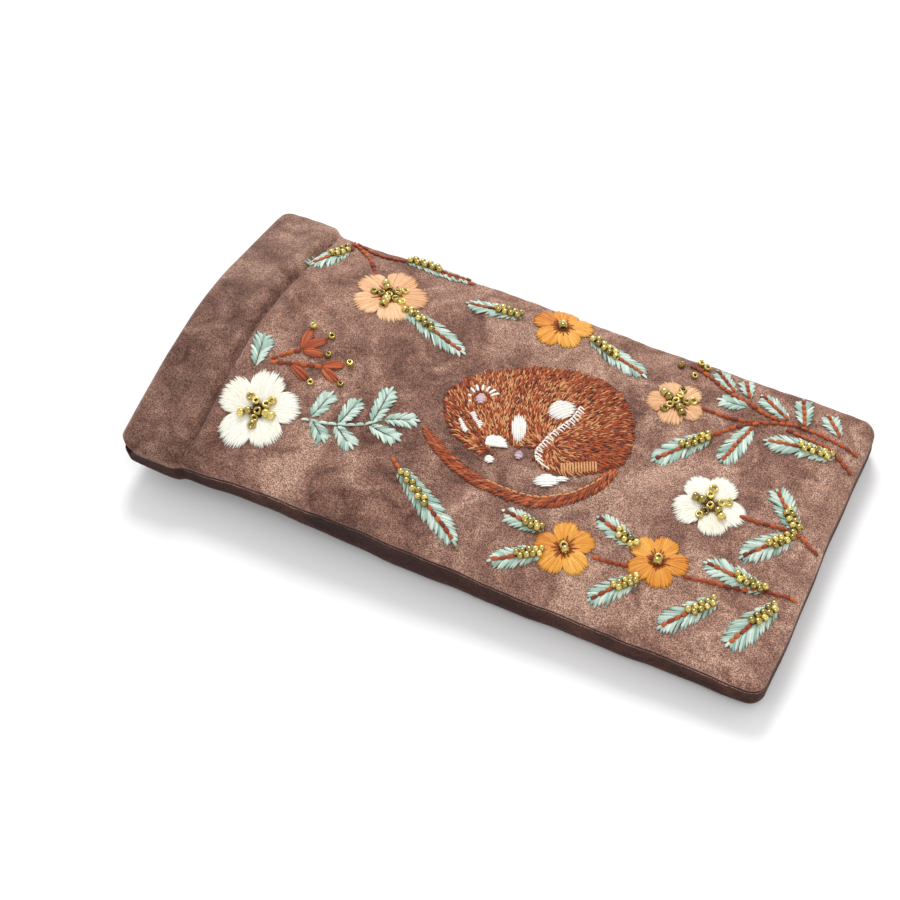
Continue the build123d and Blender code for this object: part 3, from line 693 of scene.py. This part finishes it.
def mouse_fur():
    """Two layers of short brown stitches, the haunch's lower edge, the closed eye and the ear's rim."""
    stitches = Stitches(FUR_SIDES)
    left, right, low, high = FUR_BOX
    for layer, (pitch, width, length) in enumerate(FUR_LAYERS):
        columns, rows = int((right - left) / pitch), int((high - low) / pitch)
        xs, ys = np.meshgrid(np.arange(columns), np.arange(rows))
        xs = left + (xs + random.uniform(0, 1, xs.shape)) * pitch
        ys = low + (ys + random.uniform(0, 1, ys.shape)) * pitch
        keep = inside(xs, ys, MOUSE_OUTLINE)
        xs, ys = xs[keep], ys[keep]
        dx, dy = fur_direction(xs, ys)
        turn = random.normal(0, 0.2, len(xs))
        dx, dy = dx * np.cos(turn) - dy * np.sin(turn), dx * np.sin(turn) + dy * np.cos(turn)
        reach = length * random.uniform(0.75, 1.2, len(xs)) * 0.5
        deep_back = np.clip((np.hypot(xs - 8, (ys - 2) * 1.25) - 17) / 8, 0, 1)
        thigh = np.clip(1 - np.hypot(xs - 28, ys - 1) / 8, 0, 1)
        light = 0.40 - 0.32 * deep_back - 0.38 * np.clip(thigh * 2, 0, 1)
        pick = random.uniform(0, 1, len(xs))
        pale = random.uniform(0.78, 1, len(xs))
        dark = random.uniform(0.0, 0.62, len(xs))
        tone = np.where(pick < light, pale, dark)
        tone = np.where(layer == 0, random.uniform(0.05, 0.5, len(xs)), tone)
        for x, y, ax, ay, r, k in zip(xs, ys, dx, dy, reach, tone):
            thickness = width * random.uniform(0.85, 1.2)
            bow = random.uniform(-0.12, 0.12)
            stitches.add(x - ax * r, y - ay * r, x + ax * r, y + ay * r, thickness,
                         k, 0.1 + 0.2 * layer, 0.24, bow)
    for share in np.linspace(0.04, 0.96, 13):
        top_x, top_y = 20.2 + 8.6 * share, -6.1 + 4.8 * share
        low_x, low_y = 21.8 + 8.6 * share, -9.5 + 4.7 * share
        stitches.add(top_x, top_y, low_x, low_y, 0.62, 0.9 if int(share * 40) % 3 else 0.4, 0.5, 0.2)
    back_stitch(stitches, EYE, 1.6, 0.85, 0.2, 0.5)
    for i in range(16):
        angle = 2 * math.pi * i / 16
        end = angle + 0.45
        stitches.add(EAR[0] + 2.1 * math.cos(angle), EAR[1] + 2.1 * math.sin(angle),
                     EAR[0] + 2.1 * math.cos(end), EAR[1] + 2.1 * math.sin(end), 0.55, 0.3, 0.45)
    return stitches.build("mouse_fur")


def mouse_lights():
    """White and cream fur: ear, eye, nose, paws, spot and the haunch's pale edge."""
    stitches = Stitches()
    satin_oval(stitches, 6.1, -1.0, 9.8, 3.8, -68, tone=0.75, lift=0.48)
    satin_oval(stitches, 13.9, 9.6, 9.0, 5.6, 52, tone=0.7, lift=0.48)
    satin_oval(stitches, 19.4, -12.9, 7.6, 3.6, 26, tone=0.9, lift=0.3)
    satin_oval(stitches, 22.6, -10.9, 4.6, 1.5, 30, tone=0.9, lift=0.3)
    for x, y in EAR_RAYS:
        out_x, out_y = x - EAR[0], y - EAR[1]
        size = math.hypot(out_x, out_y)
        stitches.add(EAR[0] + 2.6 * out_x / size, EAR[1] + 2.6 * out_y / size, x, y, 0.8, 0.9, 0.48)
    for i in range(9):
        t = (i + 0.5) / 9
        x, y = -8.4 + 4.6 * t, -3.1 - 3.4 * t
        reach = random.uniform(1.3, 2.5) * math.sin(math.pi * (0.25 + 0.6 * t))
        stitches.add(x + 0.5, y + 0.6, x + 0.5 + 0.7 * reach, y + 0.6 + 0.72 * reach, 0.62, 0.9, 0.46)
    for i in range(7):
        t = (i + 0.5) / 7
        x, y = -8.9 + 3.6 * t, -4.2 - 2.9 * t
        reach = random.uniform(1.1, 2.0)
        stitches.add(x - 0.3, y - 0.4, x - 0.3 - 0.2 * reach, y - 0.4 - 0.98 * reach, 0.62, 0.9, 0.46)
    for i in range(16):
        t = i / 15
        angle = math.radians(150 - 135 * t)
        out_x = 2.5 + 3.3 * math.cos(angle) + random.uniform(-0.2, 0.2)
        out_y = -8.1 + 3.1 * math.sin(angle) * random.uniform(0.85, 1.1)
        stitches.add(0.4 + 2.8 * t, -10.0 + 1.6 * t, out_x, out_y, 0.62, 0.85, 0.44)
    satin_oval(stitches, 3.0, -13.0, 2.9, 2.2, 40, tone=0.8, lift=0.4)
    edge = np.array(HAUNCH_EDGE)
    steps = lengths_along(edge)
    for at in np.linspace(0, steps[-1], 26):
        x, y = np.interp(at, steps, edge[:, 0]), np.interp(at, steps, edge[:, 1])
        stitches.add(x - 0.4, y + 0.2, x + random.uniform(1.3, 2.4), y + random.uniform(-0.8, -0.1),
                     0.46, random.uniform(0.5, 1), 0.46)
    back_stitch(stitches, HAUNCH_EDGE, 1.5, 0.5, 0.9, 0.42)
    return stitches.build("mouse_highlights")


def mouse_pinks():
    stitches = Stitches()
    satin_oval(stitches, EAR[0], EAR[1], 3.3, 3.0, 20, tone=0.6, lift=0.46)
    satin_oval(stitches, 9.4, -8.4, 2.6, 2.4, 10, tone=0.4, lift=0.3)
    return stitches.build("mouse_ear")


def mouse_tail():
    stitches = Stitches()
    rope(stitches, TAIL, 2.8, 0.36, 0.42)
    inner = [(x - 0.25, y + 1.25) for x, y in TAIL[3:-1]]
    back_stitch(stitches, inner, 2.0, 0.5, 0.92, 0.34)
    return stitches.build("mouse_tail")


# Materials
def linear(red, green, blue):
    """Linear colour from 0-255 screen values."""
    parts = [c / 255 for c in (red, green, blue)]
    return tuple(c / 12.92 if c <= 0.04045 else ((c + 0.055) / 1.055) ** 2.4 for c in parts) + (1.0,)


class Finish:
    """A principled material with a few helpers for its nodes."""

    def __init__(self, name, **sockets):
        self.material = bpy.data.materials.new(name)
        self.material.use_nodes = True
        self.nodes = self.material.node_tree.nodes
        self.links = self.material.node_tree.links
        self.shader = self.nodes["Principled BSDF"]
        self.place = self.nodes.new("ShaderNodeTexCoord").outputs["Object"]
        for key, value in sockets.items():
            self.shader.inputs[key.replace("_", " ")].default_value = value

    def join(self, value, socket):
        if isinstance(value, bpy.types.NodeSocket):
            self.links.new(value, socket)
        else:
            socket.default_value = value

    def add(self, kind, output, **inputs):
        """Output of a new node, with a value or a link for each input named."""
        node = self.nodes.new(f"ShaderNode{kind}")
        for key, value in inputs.items():
            self.join(value, node.inputs[key])
        return node.outputs[output]

    def scaled(self, vector, factors):
        return self.add("Mapping", "Vector", Vector=vector, Scale=factors)

    def noise(self, scale, detail=2.0, vector=None, distortion=0.0):
        return self.add("TexNoise", "Fac", Vector=vector or self.place, Scale=scale, Detail=detail,
                        Distortion=distortion)

    def ramp(self, value, stops):
        node = self.nodes.new("ShaderNodeValToRGB")
        self.links.new(value, node.inputs["Fac"])
        ramp = node.color_ramp
        while len(ramp.elements) < len(stops):
            ramp.elements.new(0.5)
        for element, (position, colour) in zip(ramp.elements, stops):
            element.position = position
            element.color = colour if isinstance(colour, tuple) else (colour, colour, colour, 1)
        return node.outputs["Color"]

    def blend(self, kind, share, a, b):
        node = self.nodes.new("ShaderNodeMix")
        node.data_type = "RGBA"
        node.blend_type = kind
        self.join(share, node.inputs["Factor"])
        self.join(a, node.inputs[6])
        self.join(b, node.inputs[7])
        return node.outputs[2]

    def math(self, kind, a, b):
        node = self.nodes.new("ShaderNodeMath")
        node.operation = kind
        self.join(a, node.inputs[0])
        self.join(b, node.inputs[1])
        return node.outputs[0]

    def bump(self, height, distance, strength=1.0, under=None):
        inputs = {} if under is None else {"Normal": under}
        return self.add("Bump", "Normal", Height=height, Distance=distance, Strength=strength, **inputs)

    def attribute(self, name):
        node = self.nodes.new("ShaderNodeAttribute")
        node.attribute_name = name
        split = self.nodes.new("ShaderNodeSeparateColor")
        self.links.new(node.outputs["Color"], split.inputs["Color"])
        return split.outputs

    def surface(self, colour=None, roughness=None, normal=None):
        for key, output in (("Base Color", colour), ("Roughness", roughness), ("Normal", normal)):
            if output is not None:
                self.links.new(output, self.shader.inputs[key])
        return self.material


def velvet(name, dark, middle, light, sheen):
    """Crushed velvet: broad bruised patches, short pile lying in changing directions and a fine
    salt-and-pepper grain."""
    f = Finish(name, Roughness=0.85, Sheen_Weight=sheen, Sheen_Roughness=0.35,
               Sheen_Tint=linear(235, 205, 195), Specular_IOR_Level=0.2)
    broad = f.noise(38, 2.0, distortion=1.2)
    patches = f.noise(105, 2.0, distortion=1.4)
    grain = f.noise(3200, 1.0)
    tufts = f.noise(900, 3.0)
    pile = f.math("ADD", f.math("MULTIPLY", broad, 0.55), f.math("MULTIPLY", patches, 0.45))
    base = f.ramp(pile, [(0.34, dark), (0.5, middle), (0.66, light)])
    mottled = f.blend("MULTIPLY", 1.0, base, f.ramp(tufts, [(0.34, 0.8), (0.52, 1.0), (0.7, 1.14)]))
    # Painted shade and painted sheen along the pouch: darker over the hem band at the mouth, a little
    # lighter towards the closed end.
    split = f.nodes.new("ShaderNodeSeparateXYZ")
    f.links.new(f.place, split.inputs["Vector"])
    along = f.math("ADD", f.math("MULTIPLY", split.outputs["X"], 5.0), 0.5)
    shading = f.ramp(along, [(0.0, 0.72), (0.11, 0.74), (0.16, 1.0), (0.6, 0.98), (1.0, 1.1)])
    mottled = f.blend("MULTIPLY", 1.0, mottled, shading)
    speckled = f.blend("MULTIPLY", 1.0, mottled, f.ramp(grain, [(0.36, 0.42), (0.5, 0.97), (0.64, 1.7)]))
    normal = f.bump(patches, 0.0009, 0.6)
    normal = f.bump(tufts, 0.0004, 0.6, normal)
    normal = f.bump(grain, 0.0003, 0.7, normal)
    rough = f.ramp(grain, [(0.3, 0.7), (0.7, 0.95)])
    return f.surface(speckled, rough, normal)


def thread(name, dark, middle, light, sheen=0.25):
    """Cotton floss: fine strands along each stitch, with painted shade where it dips into the cloth and on
    the underside of each strand.
    """
    f = Finish(name, Roughness=0.5, Sheen_Weight=sheen, Sheen_Roughness=0.3, Specular_IOR_Level=0.35)
    tone, along, upper = f.attribute("stitch")[:3]
    strand_place = f.nodes.new("ShaderNodeUVMap")
    strand_place.uv_map = "thread"
    strands = f.noise(1.0, 2.0, f.scaled(strand_place.outputs["UV"], (0.7, 9.0, 1.0)))
    colour = f.ramp(tone, [(0.0, dark), (0.45, middle), (1.0, light)])
    # Painted shade at both ends of each stitch, where it dips into the cloth.
    ends = f.ramp(along, [(0.0, 0.6), (0.14, 1.0), (0.86, 1.0), (1.0, 0.6)])
    colour = f.blend("MULTIPLY", 0.9, colour, ends)
    colour = f.blend("MULTIPLY", 0.8, colour, f.ramp(strands, [(0.34, 0.68), (0.55, 1.0), (0.7, 1.1)]))
    # Painted shade: each strand's underside is darker and its top lighter.
    colour = f.blend("MULTIPLY", 0.7, colour, f.ramp(upper, [(0.2, 0.62), (0.6, 1.0)]))
    rough = f.ramp(strands, [(0.3, 0.62), (0.7, 0.42)])
    return f.surface(colour, rough, f.bump(strands, 0.00012, 0.8))


def glass_bead(name, dark, light):
    """Glass seed bead lined with gold."""
    f = Finish(name, Metallic=0.9, Roughness=0.12, Coat_Weight=1.0, Coat_Roughness=0.03, IOR=1.5)
    tone = f.attribute("stitch")[0]
    swirl = f.noise(700, 2.0)
    colour = f.ramp(tone, [(0.0, dark), (1.0, light)])
    colour = f.blend("MULTIPLY", 0.7, colour, f.ramp(swirl, [(0.35, 0.55), (0.65, 1.15)]))
    return f.surface(colour, f.ramp(swirl, [(0.3, 0.1), (0.7, 0.24)]))


def woven(name, dark, light):
    """Plain-woven lining cloth."""
    f = Finish(name, Roughness=0.8, Sheen_Weight=0.15, Specular_IOR_Level=0.25)
    weave = []
    for factors in ((1.0, 0.12, 0.12), (0.12, 1.0, 0.12)):
        weave.append(f.noise(2600, 1.0, f.scaled(f.place, factors)))
    cloth = f.math("MULTIPLY", f.math("ADD", weave[0], weave[1]), 0.5)
    colour = f.ramp(cloth, [(0.38, dark), (0.62, light)])
    worn = f.ramp(f.noise(60, 3.0), [(0.3, 0.85), (0.7, 1.1)])
    return f.surface(f.blend("MULTIPLY", 1.0, colour, worn), None, f.bump(cloth, 0.0002, 0.6))


def steel(name):
    """Rolled spring steel with faint lines along the strip."""
    f = Finish(name, Metallic=1.0, Roughness=0.3)
    lines = f.noise(900, 3.0, f.scaled(f.place, (1.0, 0.03, 1.0)))
    colour = f.ramp(lines, [(0.35, linear(120, 122, 126)), (0.65, linear(178, 180, 184))])
    return f.surface(colour, f.ramp(lines, [(0.3, 0.38), (0.7, 0.22)]))


VELVET = velvet("velvet", linear(92, 61, 52), linear(137, 101, 87), linear(176, 140, 122), 0.4)
# The back's velvet is the front's velvet painted much darker and given less sheen: painted shade over the
# back, its sides and its hem band.
VELVET_PAINTED_SHADE = velvet("velvet_dark", linear(38, 18, 14), linear(56, 30, 24), linear(80, 48, 39), 0.1)
LINING = woven("lining", linear(88, 62, 54), linear(128, 98, 86))
STEEL = steel("spring_steel")
HEM_THREAD = thread("hem_thread", linear(96, 66, 58), linear(118, 86, 77), linear(140, 106, 96))
CREAM = thread("cream_thread", linear(238, 228, 204), linear(250, 246, 230), linear(255, 255, 248))
PEACH = thread("peach_thread", linear(205, 140, 95), linear(232, 178, 130), linear(250, 212, 168))
ORANGE = thread("orange_thread", linear(190, 95, 25), linear(228, 150, 48), linear(246, 188, 92))
MINT = thread("mint_thread", linear(140, 174, 160), linear(184, 208, 193), linear(224, 238, 226))
RUST = thread("rust_thread", linear(112, 40, 17), linear(168, 70, 28), linear(198, 100, 48))
FUR = thread("brown_thread", linear(78, 32, 16), linear(182, 80, 32), linear(226, 172, 112), 0.1)
WHITE = thread("white_thread", linear(206, 201, 192), linear(239, 236, 228), linear(252, 250, 245))
PINK = thread("pink_thread", linear(186, 150, 160), linear(214, 188, 197), linear(236, 216, 223))
GOLD = glass_bead("gold_bead", linear(138, 114, 32), linear(238, 214, 118))


# The pieces
SIDE_NAMES = {-1: "left", 1: "right"}


def finish_piece(obj, material, nodes=()):
    obj.data.materials.append(material)
    if nodes:
        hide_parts(*nodes)


def soft_body():
    """Velvet panels, hem bands and lining, in halves; the hem band halves follow the squeeze frame's lips.
    """
    parts = {
        "front": (VELVET, "velvet", ("front_panel", "front_padding"), "front_lining"),
        # The back panels and back bands take the velvet with painted shade.
        "back": (VELVET_PAINTED_SHADE, "velvet_dark", ("back_panel", "back_padding"), "back_lining"),
    }
    for face, (material, slot_name, nodes, lining_node) in parts.items():
        for side, label in SIDE_NAMES.items():
            lip = f"{face}_lip_{label}"
            panel = panel_half(f"{face}_velvet_{label}", side, face)
            finish_piece(panel, material, nodes)
            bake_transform(panel)
            cloth = lining_half(f"{face}_lining_{label}", side, face)
            finish_piece(cloth, LINING, (lining_node,))
            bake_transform(cloth)
            band = band_half(f"{face}_band_{label}", side, face)
            finish_piece(band, material, (f"{face}_casing_{label}",))
            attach(band, lip)


def place_embroidery(obj, material, nodes):
    finish_piece(obj, material, nodes)
    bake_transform(obj)


def both_sides(prefix, motifs, draw, where, material, nodes):
    """One object of stitches for the motifs of each half of the front."""
    for side, label in SIDE_NAMES.items():
        chosen = [motif for motif in motifs if (where(motif) >= 0) == (side > 0)]
        if not chosen:
            continue
        stitches = Stitches()
        for motif in chosen:
            draw(stitches, motif)
        place_embroidery(stitches.build(f"{prefix}_{label}"), material, nodes)


def flower(stitches, motif):
    satin_flower(stitches, *motif)


def flower_rays(stitches, x, y, radius, _turn):
    """Thin dark stitches that run out from a flower's heart."""
    for i in range(18):
        angle = math.radians(20 * i + random.uniform(-6, 6))
        inner, outer = 0.1 * radius, radius * random.uniform(0.3, 0.58)
        stitches.add(x + inner * math.cos(angle), y + inner * math.sin(angle),
                     x + outer * math.cos(angle), y + outer * math.sin(angle), 0.34, 0.25, 0.42, 0.3)


def sprig(stitches, _):
    back_stitch(stitches, SPRIG_STEM, 2.4, 0.85)


def stem(stitches, path):
    back_stitch(stitches, path, 2.1, 1.25)


def leaf_rib(stitches, leaf, start, end):
    x0, y0, x1, y1, _ = leaf
    path = [(x0 + (x1 - x0) * t, y0 + (y1 - y0) * t) for t in (start, end)]
    back_stitch(stitches, path, 1.9, 1.15, None, 0.42)


def embroidery():
    for colour, motifs, material in (("cream", CREAM_FLOWERS, CREAM), ("peach", PEACH_FLOWERS, PEACH),
                                     ("orange", ORANGE_FLOWERS, ORANGE)):
        both_sides(f"{colour}_flowers", motifs, flower, lambda m: m[1], material,
                   (f"{colour}_flowers",))
    leaves = BEADED_LEAVES + RIBBED_LEAVES + PLAIN_LEAVES
    both_sides("mint_leaves", leaves + [("sprig", -20)],
               lambda s, m: sprig(s, m) if m[0] == "sprig" else fishbone_leaf(s, m),
               lambda m: m[1], MINT, ("mint_leaves",))
    lines = [("stem", path) for path in STEMS + POD_STEMS]
    lines += [("rays", motif) for motif in ORANGE_FLOWERS + PEACH_FLOWERS]
    lines += [("half", leaf) for leaf in BEADED_LEAVES] + [("full", leaf) for leaf in RIBBED_LEAVES]

    def draw_line(stitches, line):
        kind, path = line
        if kind == "stem":
            stem(stitches, path)
        elif kind == "rays":
            flower_rays(stitches, *path)
        else:
            leaf_rib(stitches, path, 0.5 if kind == "half" else 0.0, 0.93)

    both_sides("rust_stems", lines, draw_line, lambda m: m[1][0][1] if m[0] == "stem" else m[1][1],
               RUST, ("rust_stems",))
    both_sides("rust_pods", PODS, seed_pod, lambda m: m[1], RUST, ("rust_berries",))
    for obj, material, slot_name, nodes in [
        (mouse_fur(), FUR, "rust_thread", ("mouse_body",)),
        (mouse_tail(), FUR, "rust_thread", ("mouse_tail",)),
        (mouse_lights(), WHITE, "white_thread", ("mouse_highlights",)),
        (mouse_pinks(), PINK, "white_thread", ()),
    ]:
        finish_piece(obj, material, nodes)
        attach(obj, "pouch")


# Rings of beads at each flower's heart: radius and count.
FLOWER_BEADS = [
    (CREAM_FLOWERS, [(0.3, 1), (2.6, 5), (4.5, 5)]),
    (PEACH_FLOWERS, [(0.3, 1), (2.5, 5), (4.5, 5)]),
    (ORANGE_FLOWERS, [(0.7, 2)]),
]


def bead_work():
    """Loose beads, double rows along the leaves, and rings in the flowers."""
    groups = {-1: Beads(), 1: Beads()}
    for x, y in LOOSE_BEADS:
        groups[1 if y >= 0 else -1].add(x, y)
    for x0, y0, x1, y1, _ in BEADED_LEAVES:
        angle = math.atan2(y1 - y0, x1 - x0)
        length = math.hypot(x1 - x0, y1 - y0)
        count = 9 if length > 15 else 7
        for i in range(count):
            t = 0.03 + 0.47 * (i + 0.5) / count
            side = 1 if y0 >= 0 else -1
            out = 0.62 * (1 if i % 2 else -1) + random.uniform(-0.15, 0.15)
            x = x0 + (x1 - x0) * t - math.sin(angle) * out
            y = y0 + (y1 - y0) * t + math.cos(angle) * out
            groups[side].add(x, y, angle + random.uniform(-0.35, 0.35), 0.98, 0.95)
    for flowers, rings in FLOWER_BEADS:
        for x, y, _, turn in flowers:
            side = 1 if y >= 0 else -1
            for radius, count in rings:
                for i in range(count):
                    angle = math.radians(turn + 360 * (i + 0.5) / count + random.uniform(-8, 8))
                    groups[side].add(x + radius * math.cos(angle), y + radius * math.sin(angle),
                                     angle if i % 2 else None, 1.2, 0.9)
    for side, label in SIDE_NAMES.items():
        beads = groups[side].build(f"seed_beads_{label}")
        place_embroidery(beads, GOLD, ("seed_beads",))


HEM_STITCHES = 13
HEM_PITCH = 3.4
HEM_STITCH = 2.5


def hem_stitches():
    """Running stitch along the casing's sewn line, front and back."""
    for face, height, outward in (("front", front_height, 1), ("back", back_height, -1)):
        for side, label in SIDE_NAMES.items():
            stitches = Stitches()
            for i in range(HEM_STITCHES):
                start = side * (0.6 + HEM_PITCH * i)
                end_x = HEM_X + random.uniform(-0.1, 0.1)
                stitches.add(HEM_X, start, end_x, start + side * HEM_STITCH, 0.5, None, -0.05, 0.28)
            obj = stitches.build(f"{face}_hem_stitches_{label}", height, outward)
            finish_piece(obj, HEM_THREAD, (f"{face}_hem_stitches",))
            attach(obj, f"{face}_lip_{label}")


soft_body()
embroidery()
bead_work()
hem_stitches()

for node_name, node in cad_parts.items():
    if "spring" in node_name or "pin" in node_name:
        for material_slot in node.material_slots:
            material_slot.material = STEEL


# Floor, light and camera
FLOOR_REACH = 3.0
FLOOR_HEIGHT = -0.0004
WORLD_LIGHT = 0.88
# Place in metres, size in metres and power in watts.
LIGHTS = {"key": ((-0.35, 0.75, 0.95), 0.40, 8.0), "fill": ((0.8, -0.5, 0.9), 0.5, 1.5)}
# The camera was fitted to the pouch's corners in the photo: degrees, millimetres, metres, millimetres.
CAMERA_AZIMUTH = 29.974
CAMERA_ELEVATION = 53.290
CAMERA_ROLL = -5.0
CAMERA_TARGET = (-14.427, -2.970, 0)
CAMERA_DISTANCE = 0.48938
CAMERA_LENS = 70.66


def add_floor():
    """White ground just under the pouch."""
    corners = [(-1, -1), (1, -1), (1, 1), (-1, 1)]
    points = [(FLOOR_REACH * x, FLOOR_REACH * y, FLOOR_HEIGHT) for x, y in corners]
    mesh = bpy.data.meshes.new("floor")
    mesh.from_pydata(points, [], [(0, 1, 2, 3)])
    floor = bpy.data.objects.new("floor", mesh)
    bpy.context.scene.collection.objects.link(floor)
    f = Finish("floor", Roughness=0.9, Specular_IOR_Level=0.1, Base_Color=(0.93, 0.93, 0.93, 1))
    mesh.materials.append(f.material)


def add_area(name, place, size, power):
    light = bpy.data.lights.new(name, "AREA")
    light.size = size
    light.energy = power
    obj = bpy.data.objects.new(name, light)
    obj.location = place
    obj.rotation_euler = (Vector((0, 0, 0)) - Vector(place)).to_track_quat("-Z", "Y").to_euler()
    bpy.context.scene.collection.objects.link(obj)


def add_light():
    world = bpy.data.worlds.new("studio")
    world.use_nodes = True
    background = world.node_tree.nodes["Background"]
    background.inputs["Color"].default_value = (1, 1, 1, 1)
    background.inputs["Strength"].default_value = WORLD_LIGHT
    bpy.context.scene.world = world
    bpy.context.scene.view_settings.view_transform = "Standard"
    for name, (place, size, power) in LIGHTS.items():
        add_area(name, place, size, power)


def add_camera():
    azimuth = math.radians(CAMERA_AZIMUTH)
    elevation = math.radians(CAMERA_ELEVATION)
    roll_angle = math.radians(CAMERA_ROLL)
    back = Vector((math.sin(azimuth) * math.cos(elevation), -math.cos(azimuth) * math.cos(elevation),
                   math.sin(elevation)))
    right = Vector((math.cos(azimuth), math.sin(azimuth), 0))
    up = back.cross(right)
    rolled_right = math.cos(roll_angle) * right + math.sin(roll_angle) * up
    rolled_up = math.cos(roll_angle) * up - math.sin(roll_angle) * right
    place = Vector(CAMERA_TARGET) * MM + back * CAMERA_DISTANCE
    camera = bpy.data.cameras.new("camera")
    camera.lens = CAMERA_LENS
    camera.sensor_width = 36.0
    obj = bpy.data.objects.new("camera", camera)
    axes = Matrix((rolled_right, rolled_up, back)).transposed()
    obj.matrix_world = Matrix.Translation(place) @ axes.to_4x4()
    bpy.context.scene.collection.objects.link(obj)
    bpy.context.scene.camera = obj


add_floor()
add_light()
add_camera()
